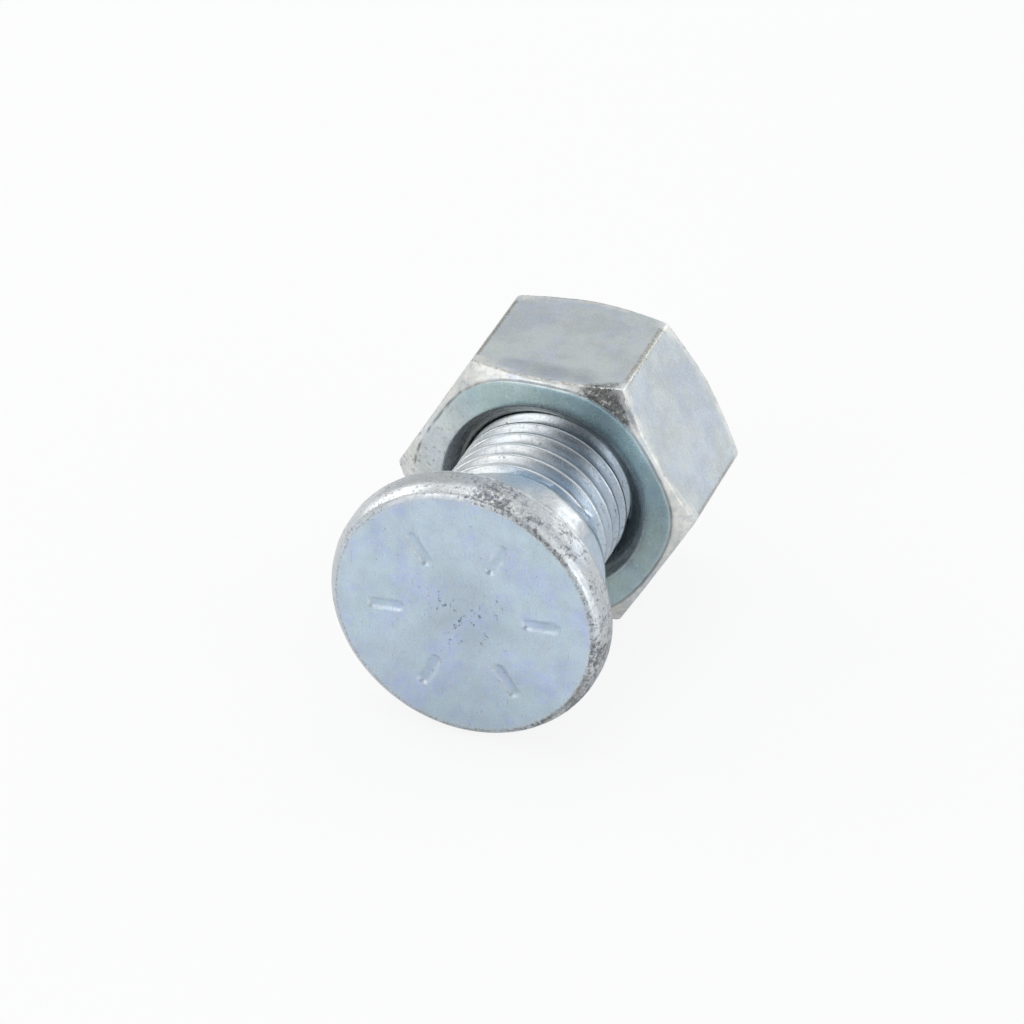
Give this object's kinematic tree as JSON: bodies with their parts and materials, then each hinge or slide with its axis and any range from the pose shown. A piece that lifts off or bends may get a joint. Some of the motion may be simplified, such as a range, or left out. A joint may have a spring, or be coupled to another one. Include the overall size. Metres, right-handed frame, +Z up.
{
  "type": "plow bolt",
  "caption": "Zinc-plated plow bolt with a flat round head, short square neck and coarse thread, lying on its side with a hex nut run part of the way up the thread.",
  "frame": {"origin": "centre of the flat head face", "axes": "+X along the bolt from the head face to the end of the thread, +Z up as it lies, square to the nut's upper flat"},
  "size_m": [0.05, 0.0392, 0.0354],
  "materials": {
    "bolt_zinc": "satin zinc plating, pale blue-grey",
    "nut_zinc": "satin zinc plating, silver-grey"
  },
  "bodies": {
    "bolt": {"plow_bolt": "bolt_zinc"},
    "nut": {"hex_nut": "nut_zinc"}
  },
  "joints": [
    {"name": "nut_travel", "type": "slide", "parent": "bolt", "child": "nut", "axis": [1, 0, 0], "range_m": [-0.01, 0.0225]}
  ]
}
